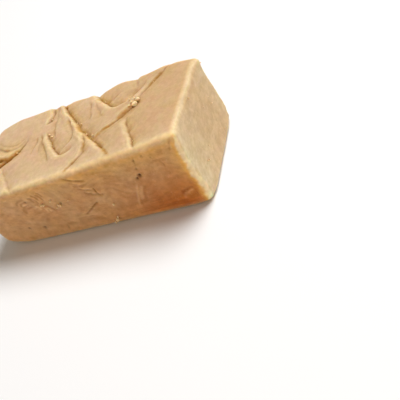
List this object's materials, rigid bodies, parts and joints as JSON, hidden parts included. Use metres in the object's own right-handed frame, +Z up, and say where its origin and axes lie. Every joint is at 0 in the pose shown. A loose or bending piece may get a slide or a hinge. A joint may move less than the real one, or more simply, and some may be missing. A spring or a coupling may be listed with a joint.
{
  "type": "peanut butter fudge bar",
  "caption": "Rectangular hand-cut bar of peanut butter fudge with a swirled, folded top, smooth cut sides, soft rounded edges and a flat base.",
  "frame": {"origin": "middle of the flat base, in the middle of the bar's box", "axes": "+X along the bar towards its cut end, +Z up out of the swirled top, -Y out of the long front face"},
  "size_m": [0.1106, 0.0508, 0.0351],
  "materials": {
    "fudge": "soft satin fudge, pale tan, slightly translucent at the edges"
  },
  "bodies": {
    "root": {"fudge_bar": "fudge"}
  },
  "joints": []
}
